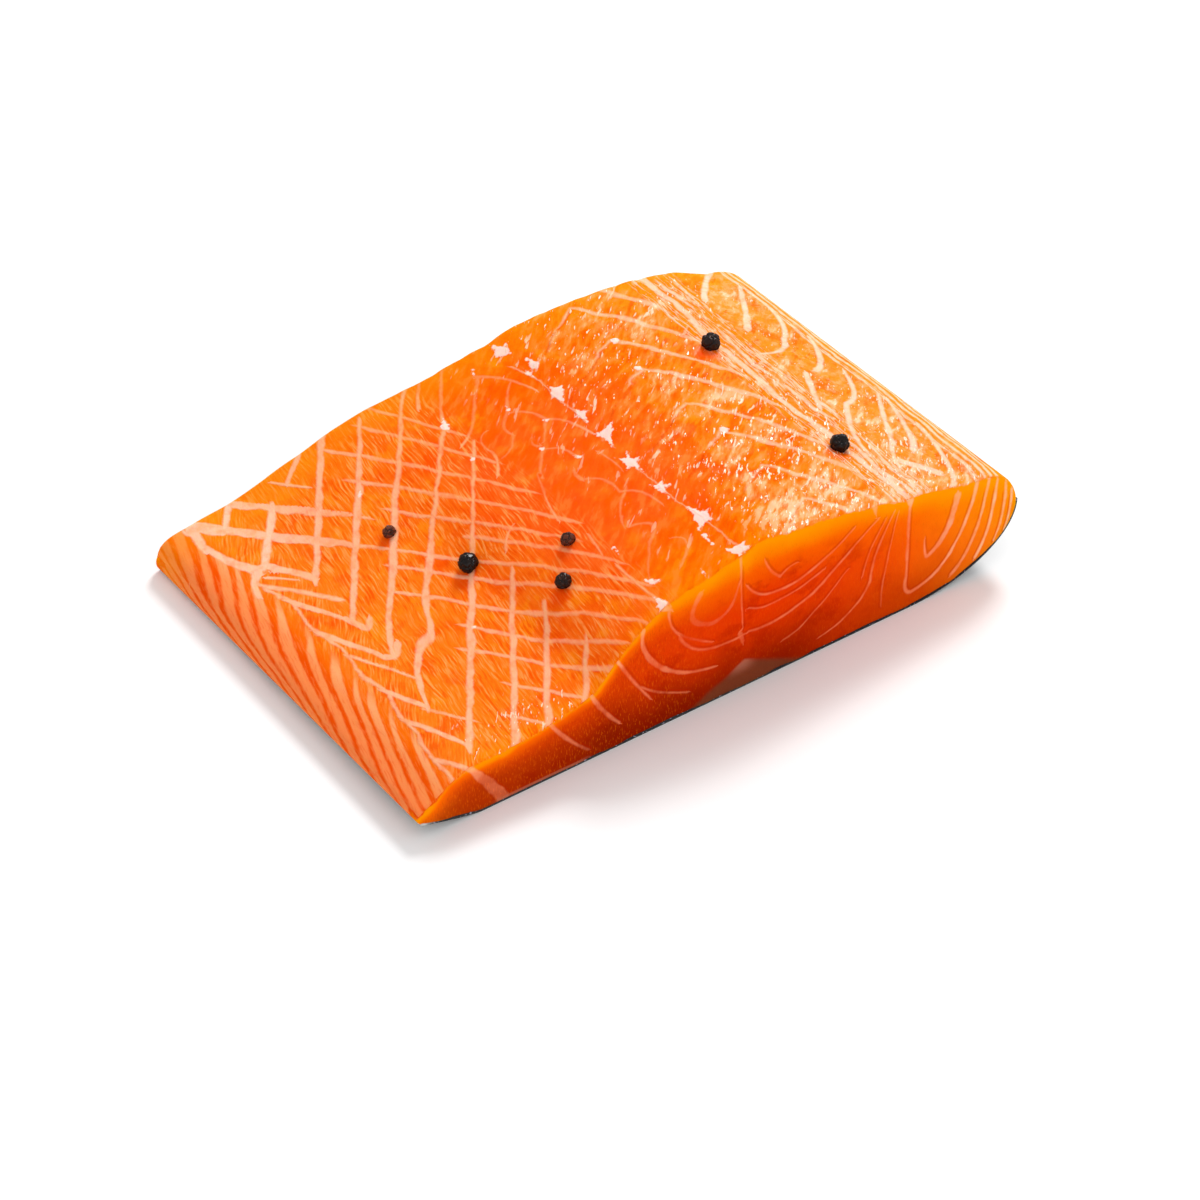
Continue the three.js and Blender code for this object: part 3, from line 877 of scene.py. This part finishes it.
class Flesh(Finish):
    """The flesh, built up from its base colour to its marbling and its wet places."""

    def __init__(self):
        super().__init__("salmon_flesh")
        x, y, self.z = [part * 1000 for part in self.parts(self.place)]
        self.x = x + WIDTH / 2
        self.y = y + BELLY_LENGTH / 2
        self.depth = self.stored("depth")
        self.broad = self.grain(14, detail=3)
        torn_edge = (self.grain(2.5, detail=3) - 0.5) * 2.4
        self.end = self.stored("cut")
        self.cut = self.end * self.smooth(self.depth + torn_edge, -0.2, 0.7)
        self.top = 1 - self.cut
        self.inland = self.smooth(self.stored("inland"), 0.4, 2.8)
        self.swept = self.swayed(0.9, 8)
        self.fold = self.band(self.x, 13, 77, 6) * self.top
        self.loin = self.band(self.x, 114, 178, 12) * self.top
        self.muscle = self.band(self.x, 80, 150, 8) * self.top
        self.colour = None

    def lay(self, amount, colour):
        self.colour = self.blend(amount, self.colour, colour)

    def wash(self, value, low, high, amount, colour):
        """Lay a colour in where a value passes from low to high."""
        self.lay(self.smooth(value, low, high) * amount, paint(*colour))

    def base(self):
        """By place across the fish. The cuts get a painted glow at their top edge, for light
        shining through the flesh, and painted shade that darkens them downwards.
        """
        slow = self.x + (self.broad - 0.5) * 18
        self.colour = self.ramp(slow / WIDTH, CUT_COLOURS)
        thick_part = self.smooth(self.x, 58, 104)
        # Painted glow: the top band of each cut is painted brighter orange, for light shining
        # through the flesh
        below = (self.depth + (self.broad - 0.5) * 5) / (thick_part * 0.72 + 0.28)
        self.wash(below, 18, 3, 0.9, (255, 104, 0))
        self.wash(below, 8, 0, 0.95, (255, 150, 0))
        back = self.smooth(self.x, 160, 192)
        # Painted glow on the cut at the back, reaching further down
        self.lay(self.smooth(self.x, 150, 192) * self.smooth(self.depth, 24, 3) * 0.65,
                 paint(255, 150, 2))
        blotch = self.grain((8, 8, 6), detail=3, roughness=0.6)
        inner = self.smooth(self.depth, 5, 14) * (self.smooth(self.x, 165, 125) * 0.5 + 0.1)
        self.wash(blotch, 0.48, 0.68, inner, (196, 34, 0))
        # Painted shade: the cuts are painted dark red towards the bottom, less on the loin and the
        # flap and none at the back
        painted_low_shade = self.smooth(self.z + (self.broad - 0.5) * 9, 22, 1)
        painted_low_shade = painted_low_shade * (1 - self.smooth(self.x, 112, 140) * 0.55) * (1 - back)
        painted_low_shade = painted_low_shade * (self.smooth(self.x, 20, 66) * 0.4 + 0.6)
        self.lay(painted_low_shade * self.smooth(self.depth, 1, 8) * 0.9, paint(122, 16, 0))
        cut_colour = self.colour
        self.colour = self.ramp(slow / WIDTH, TOP_COLOURS)
        patch = self.grain(9, detail=3, roughness=0.6)
        self.wash(patch, 0.52, 0.68, 0.55, (240, 72, 2))
        self.wash(patch, 0.46, 0.32, 0.5, (255, 142, 14))
        pinker = self.band(self.y, 34, 84, 14) * self.band(self.x, 74, 116, 12)
        self.lay(pinker * 0.45, paint(250, 84, 26))
        self.wash(self.y, 26, 8, self.muscle * 0.5, (255, 122, 0))
        # Painted glow: brighter orange along the top next to the thick cut, for light shining
        # through its edge
        from_cut = self.y - self.z * CUT_LEAN + (patch - 0.5) * 6
        rim = self.smooth(from_cut, 4.5, 0.5) * self.smooth(self.x, 14, 22)
        self.lay(rim * 0.6, paint(255, 136, 2))
        self.colour = self.blend(self.cut, self.colour, cut_colour)

    def fibres(self):
        """Fine wavy streaks: lengthwise in the flap, slanting near the belly, upright on cuts."""
        lengthwise = self.grain((0.55, 7, 0.8), turn=-8, detail=2, place=self.swept)
        slanting = self.grain((0.55, 6, 0.8), turn=-32, detail=2, place=self.swept)
        fibre = self.node("ShaderNodeMix", {"data_type": "FLOAT"},
                          {0: self.smooth(self.x, 20, 25), 2: slanting, 3: lengthwise})
        clear = self.smooth(self.grain(7, detail=2), 0.35, 0.6) * 0.6 + 0.4
        self.wash(fibre, 0.5, 0.66, self.fold * clear * 0.75, (255, 160, 84))
        self.wash(fibre, 0.48, 0.34, self.fold * clear * 0.72, (240, 72, 0))
        upright = self.grain((0.36, 0.36, 1.5), detail=2)
        speck = self.smooth(self.x, 94, 66) * 0.24 + 0.1
        speck = speck * self.cut * self.smooth(self.depth, 1.5, 4)
        self.wash(upright, 0.54, 0.7, speck, (244, 112, 14))
        self.wash(upright, 0.44, 0.34, speck * 0.6, (150, 30, 0))
        return (fibre - 0.5) * self.fold

    def torn_muscle(self):
        """Streaked, wet muscle of the loin and the back, palest near the thick cut, where part of
        the cream is a painted wet sheen.
        """
        x, y = self.x, self.y
        medium = self.grain((6.5, 1.9, 3), turn=38, detail=3, place=self.swept)
        fine = self.grain((2.4, 0.7, 1.4), turn=44, detail=2, place=self.swept)
        coarse = self.grain((16, 8, 9), turn=30, detail=2, place=self.swept)
        streak = medium * 0.74 + fine * 0.26
        # Painted wet sheen: near the thick cut the cream of the loin is pushed paler
        sheen_near_cut = self.smooth(y, 36, 6) * self.band(x, 120, 172, 14)
        loin = self.smooth(x, 110, 122) * self.smooth(x, 189, 180)
        relief = loin * self.inland
        loin = loin * self.top
        value = streak + sheen_near_cut * 0.155 + (coarse - 0.5) * (0.78 - sheen_near_cut * 0.5)
        self.wash(value, 0.47, 0.6, loin * 0.4, (255, 152, 80))
        self.wash(value, 0.57, 0.72, loin * 0.5, (255, 192, 136))
        self.wash(value, 0.65, 0.77, loin * 0.65, (255, 216, 180))
        inner = self.band(x, 106, 122, 6) * self.top
        self.wash(value, 0.62, 0.72, inner * 0.6, (255, 184, 134))
        self.wash(medium, 0.5, 0.66, self.muscle * 0.32, (255, 142, 60))
        self.wash(medium, 0.48, 0.34, self.muscle * 0.3, (236, 62, 0))
        self.wash(value, 0.45, 0.32, (loin | self.muscle) * 0.65, (246, 88, 0))
        mottle = self.grain(2.8, detail=4, roughness=0.65)
        dorsal = self.band(x, 158, 184, 6) * self.top
        self.wash(mottle, 0.5, 0.64, dorsal * 0.4, (255, 184, 132))
        self.wash(mottle, 0.48, 0.36, dorsal * 0.4, (254, 122, 24))

        # Painted highlight: pale flecks for glints on wet torn muscle, gathered in patches
        glint_fleck = self.grain((6, 1.3, 3), turn=40, detail=2, place=self.swept)
        patch = self.smooth(self.grain(10, detail=1), 0.42, 0.56)
        patch = patch * self.band(x, 90, 150, 6) * (self.smooth(x, 98, 114) * 0.6 + 0.4) * self.top
        glint_fleck = self.smooth(glint_fleck, 0.62, 0.68) * patch
        self.lay(glint_fleck * 0.75, paint(255, 224, 192))

        strand = self.grain((2.2, 15, 5), detail=3, roughness=0.6, place=self.swept) - 0.5
        bundle = self.band(x, 151.5, 165, 2) * self.top
        self.lay(bundle * self.smooth(abs(strand), 0.03, 0.08) * 0.6, paint(255, 130, 6))
        self.lay(bundle * self.smooth(abs(strand), 0.034, 0.012) * 0.6, CREAM_FAT)
        # Painted shadow: redder, darker flesh beside each peppercorn
        self.lay(self.stored("stain") * 0.65, paint(242, 66, 0))
        self.crest = self.smooth(value, 0.5, 0.66) * loin
        return (streak - 0.5) * (relief | inner * self.inland * 0.5) + glint_fleck * self.inland * 0.3

    def belly(self, wander):
        band = self.smooth(self.x, 14, 10) * self.top
        stripe = self.line("belly", wander * 0.3, 1.0, 0.35)
        fine = self.grain((0.5, 6, 0.7), turn=-16, detail=2, place=self.swept)
        # Towards the belly edge the stripes and the gaps between them are redder and darker: partly
        # their own colour, partly painted shade where the edge faces away from the light
        low = self.smooth(self.x, 12, 6)
        gap = self.blend(low, paint(254, 112, 4), paint(236, 76, 0))
        self.lay((1 - stripe) * band * 0.85, gap)
        self.lay(stripe * band * 0.9, self.blend(low, paint(255, 176, 120), paint(254, 146, 84)))
        self.wash(fine, 0.5, 0.66, band * 0.25, (255, 158, 90))
        self.wash(fine, 0.46, 0.32, band * 0.3, (236, 72, 0))
        # Painted shade: a darker red along the belly edge, which faces away from the light
        self.wash(self.x, 8, 0, self.top * 0.2, (226, 76, 4))

    def bows(self, name, wander, ragged, blur):
        """How much of the single lines shows, and of the painted shade beside them on cuts."""
        signed, plain, half = self.stored_row(name)
        half = half * ragged
        near = self.smooth(plain, half + 0.9, half + 0.45)
        off = signed + wander
        groove_shade = self.smooth(abs(off - half - 0.4), 0.55, 0.1) * self.smooth(half, 0, 0.1)
        near_groove_shade = self.smooth(plain, half + 1.6, half + 0.9)
        return self.smooth(abs(off), half + blur, half - blur) * near, groove_shade * near_groove_shade

    def marbling(self):
        wander = (self.grain(8, detail=2) - 0.5) * 3.2
        wander = wander + (self.grain(1.6, detail=3, roughness=0.7) - 0.5) * 1.0
        ragged = self.grain(4, detail=3) * 1.5 + 0.3
        uneven = self.smooth(self.grain(2.6, detail=3), 0.25, 0.6) * 0.4 + 0.6
        self.belly(wander)
        # Painted glow: brighter orange along the top next to the thin cut
        self.wash(self.y, 104, 121, self.top * 0.42, (255, 148, 8))
        torn = wander * (self.band(self.x, 81, 101, 3) * self.top * 0.25 + 0.2)
        bow, bow_groove_shade = self.bows("bows", torn, ragged, 0.35)
        fine, fine_groove_shade = self.bows("fine_bows", torn, ragged, 0.3)
        # Lines on the cuts: paler near the top edge and towards the back, pinker lower down; the
        # change with height is partly painted light and shade, partly the fat's own colour
        pink = self.smooth(self.depth, 0, 7) * self.smooth(self.x, 192, 158) * 0.8 + 0.1
        clear = self.smooth(self.grain(6, detail=2), 0.35, 0.62) * 0.35 + 0.32
        clear = clear + self.smooth(self.x, 150, 164) * 0.3
        hook = self.band(self.x, 84, 100, 2) * self.smooth(self.z, 18, 24)
        clear = clear * (1 - hook * 0.45)
        # Painted shade: a dark red band beside each line on the cuts
        groove_shade = (bow_groove_shade | fine_groove_shade) * self.cut * self.smooth(self.depth, 2, 6)
        self.lay(groove_shade * (1 - hook) * 0.32, paint(176, 26, 0))
        self.lay((bow | fine * 0.7) * self.cut * uneven * clear,
                 self.blend(pink, paint(255, 196, 150), PINK_FAT))
        rise = self.smooth(self.x, 46, 70)
        thin = self.line("ribs", wander * 0.5, ragged, 0.35) * (0.72 - rise * 0.1)
        left = self.smooth(self.x, 120, 90)
        thick = self.line("arms", wander * 0.4, ragged, 0.4) * 0.88
        thick = thick | self.line("septa", wander * 0.6, ragged, 0.4) * 0.88
        ridge = self.line("loin", wander, ragged, 0.5) * 0.55
        phase, spacing, _ = self.stored_row("loin")
        flake = self.maths("FRACT", phase + wander / spacing)
        self.flake = flake * self.smooth(flake, 1.0, 0.92) * self.loin * self.inland
        long = self.line("long", wander * 0.8, ragged, 0.35) * 0.8
        raised = self.smooth(self.x, 150, 162) * 0.12 + 0.8
        faint = self.band(self.x, 81, 101, 3) * 0.45
        flat = ((bow | fine) * self.top * (raised - faint)) | long
        corner = self.smooth(self.y, 84, 98) * self.smooth(self.x, 38, 24)
        self.lay((thick | thin | flat * left) * uneven,
                 self.blend(corner * 0.8, self.blend(rise * 0.6, PALE_FAT, paint(255, 160, 96)),
                            CREAM_FAT))
        self.lay((flat * (1 - left) | ridge) * uneven, CREAM_FAT)
        spots = self.stored("spots") + (self.grain(1.1, detail=3) - 0.5) * 1.6
        self.lay(self.smooth(spots, -0.05, 0.4) * self.top * 0.92, SPOT_FAT)
        return (thick | thin | flat | ridge) * self.top

    def wet_dashes(self):
        """Short bright dashes where torn edges of wet muscle catch the light."""
        near_flap = self.band(self.x, 20, 48, 5) * self.smooth(self.y, 22, 8) * self.top
        dash = self.grain((2.7, 0.75, 1.4), turn=48, detail=2, roughness=0.55, place=self.swept)
        zone = self.loin * (self.smooth(self.y, 80, 20) * 0.06 + 0.02) | near_flap * 0.06
        zone = zone + (self.grain(9, detail=1) - 0.5) * 0.2
        shine = self.smooth(dash + zone, 0.69, 0.73) * (self.loin | near_flap)
        self.lay(shine * 0.85, paint(255, 236, 208))
        return shine

    def underside_fat(self):
        """A grey wedge of fat below the seam and a thin pale line above the skin."""
        wedge = 8.3 - abs(self.x - 102.5) * 0.4 - self.z + (self.broad - 0.5) * 2.5
        self.wash(wedge, -0.8, 1.4, self.cut * 0.8, (112, 60, 36))
        # Paler top of the wedge: partly the fat's own colour, partly a painted silvery highlight
        silver_highlight = self.smooth(abs(self.x - 101.5), 6.0, 0.5) * self.smooth(wedge, -0.5, 0.6)
        self.lay(silver_highlight * self.smooth(self.z, 3.5, 7.5) * self.cut * 0.45, paint(200, 124, 100))
        line = self.smooth(self.z, 1.7, 1.2) * self.band(self.x, 27, 48, 6)
        self.lay(line * self.cut * 0.45, paint(196, 118, 92))

    def make(self):
        self.base()
        fibre = self.fibres()
        streak = self.torn_muscle()
        lines = self.marbling()
        shine = self.wet_dashes()
        self.underside_fat()
        wet = self.grain(2.2, detail=4, roughness=0.6)
        pores = self.grain(0.7, detail=3)
        return self.surface(
            [(self.flake, 0.8), (streak, 0.5), (wet, 0.15), (pores, 0.05), (fibre, 0.1),
             (lines, 0.14), (shine, 0.1)],
            Base_Color=self.colour,
            Roughness=0.5,
            IOR=1.38,
            Specular_IOR_Level=0.0,
            Subsurface_Weight=0.35,
            Subsurface_Radius=(1.0, 0.32, 0.12),
            Subsurface_Scale=0.0035,
            Coat_Weight=shine * 0.5 + self.crest * 0.12 + self.fold * 0.02 + 0.012,
            Coat_Roughness=0.14,
            Coat_IOR=1.4,
        )


SCALE_SIZE = (4.2, 3.0, 4.2)


def skin_finish():
    skin = Finish("salmon_skin")
    across = skin.stored("across")
    cell = skin.node("ShaderNodeTexVoronoi", {"feature": "F1"}, {
        "Vector": skin.stretched(SCALE_SIZE, 90), "Scale": 1.0, "Randomness": 0.35})
    mottle = skin.grain(9, detail=3)
    shade = skin.ramp((across + (mottle - 0.5) * 24) / WIDTH, [
        (0.0, (196, 194, 190)), (0.45, (158, 160, 164)), (0.72, (90, 94, 104)),
        (0.86, (38, 40, 52)), (1.0, (20, 22, 32))])
    colour = skin.blend(skin.smooth(cell, 0.2, 0.6) * 0.45, shade, paint(24, 26, 30))
    rim = skin.stored("rim")
    glint = skin.smooth(skin.grain(0.9, detail=2), 0.62, 0.7)
    rim_colour = skin.blend(glint, paint(12, 9, 14), paint(150, 150, 165))
    colour = skin.blend(rim * 0.95, colour, rim_colour)
    sheen = skin.grain(2.5, detail=2)
    return skin.surface(
        [(1 - cell, 0.35), (sheen, 0.1)],
        Base_Color=colour,
        Roughness=0.3 + (sheen - 0.5) * 0.2,
        Metallic=0.25,
        IOR=1.4,
        Specular_IOR_Level=0.25,
        Coat_Weight=0.4 - rim * 0.3,
        Coat_Roughness=0.15,
    )


def pepper_finish():
    pepper = Finish("dried_pepper")
    brown = pepper.stored("brown")
    dust = pepper.grain(0.5, detail=4, roughness=0.65)
    crease = pepper.stored("crease")
    dark = pepper.blend(brown, paint(20, 12, 10), paint(118, 56, 34))
    # Painted shade: the sides of each crease are painted nearly black; the brown laid next, at the
    # bottom of each crease, is the colour of its crack
    dark = pepper.blend(pepper.smooth(crease, 0.1, 0.5) * 0.8, dark, paint(4, 2, 2))
    dark = pepper.blend(pepper.smooth(crease, 0.78, 0.95) * 0.7, dark, paint(128, 70, 44))
    colour = pepper.blend(pepper.smooth(dust, 0.55, 0.75) * 0.35, dark, paint(96, 60, 46))
    return pepper.surface(
        [(dust, 0.01)],
        Base_Color=colour,
        Roughness=0.5,
        IOR=1.45,
        Specular_IOR_Level=0.05,
        Coat_Weight=0.3,
        Coat_Roughness=0.15,
    )


def floor_finish():
    floor = Finish("studio_floor")
    return floor.surface([], Base_Color=(0.93, 0.93, 0.93, 1), Roughness=0.9)


flesh = shape_flesh()
flesh.data.materials.append(Flesh().make())
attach(flesh, "root")
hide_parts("flesh")

peppercorns = shape_peppercorns()
peppercorns.data.materials.append(pepper_finish())
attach(peppercorns, "root")
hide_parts("flesh")

skin = shape_skin()
skin.data.materials.append(skin_finish())
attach(skin, "root")
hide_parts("skin")

# Floor, lights and camera, in metres
FLOOR_REACH = 4


def lay_floor():
    bm = bmesh.new()
    bmesh.ops.create_grid(bm, x_segments=1, y_segments=1, size=FLOOR_REACH)
    floor = smooth_piece("floor", bm)
    floor.data.materials.append(floor_finish())
    return floor


lay_floor()


# Light: an even pale room, a strong softbox behind on the right and a weak one in front
def soft_box(name, place, side, power):
    data = bpy.data.lights.new(name, "AREA")
    data.shape = "SQUARE"
    data.size = side
    data.energy = power
    box = add_object(name, data)
    box.location = place
    box.rotation_euler = (-Vector(place)).to_track_quat("-Z", "Y").to_euler()


soft_box("key_light", (0.95, 0.72, 1.15), 0.45, 18)
soft_box("fill_light", (-0.35, -1.3, 0.4), 0.9, 3)

ROOM_LIGHT = 0.77
room = bpy.data.worlds.new("room")
room.use_nodes = True
background = room.node_tree.nodes["Background"]
background.inputs["Color"].default_value = (1, 1, 1, 1)
background.inputs["Strength"].default_value = ROOM_LIGHT
bpy.context.scene.world = room

# Camera at the photograph's viewing angle
CAMERA_PLACE = Vector((-0.46211, -0.58765, 0.63))
CAMERA_AIM = Vector((-0.00663, -0.01362, 0))
CAMERA_ROLL = math.radians(3.011)
CAMERA_LENS = 108.911
camera_data = bpy.data.cameras.new("camera")
camera_data.lens = CAMERA_LENS
camera_data.sensor_width = 36
camera_data.clip_start = 0.01
camera = add_object("camera", camera_data)
camera.location = CAMERA_PLACE
facing = (CAMERA_AIM - CAMERA_PLACE).to_track_quat("-Z", "Y")
camera.rotation_euler = (facing @ Quaternion((0, 0, 1), CAMERA_ROLL)).to_euler()
bpy.context.scene.camera = camera
bpy.context.scene.view_settings.view_transform = "Standard"
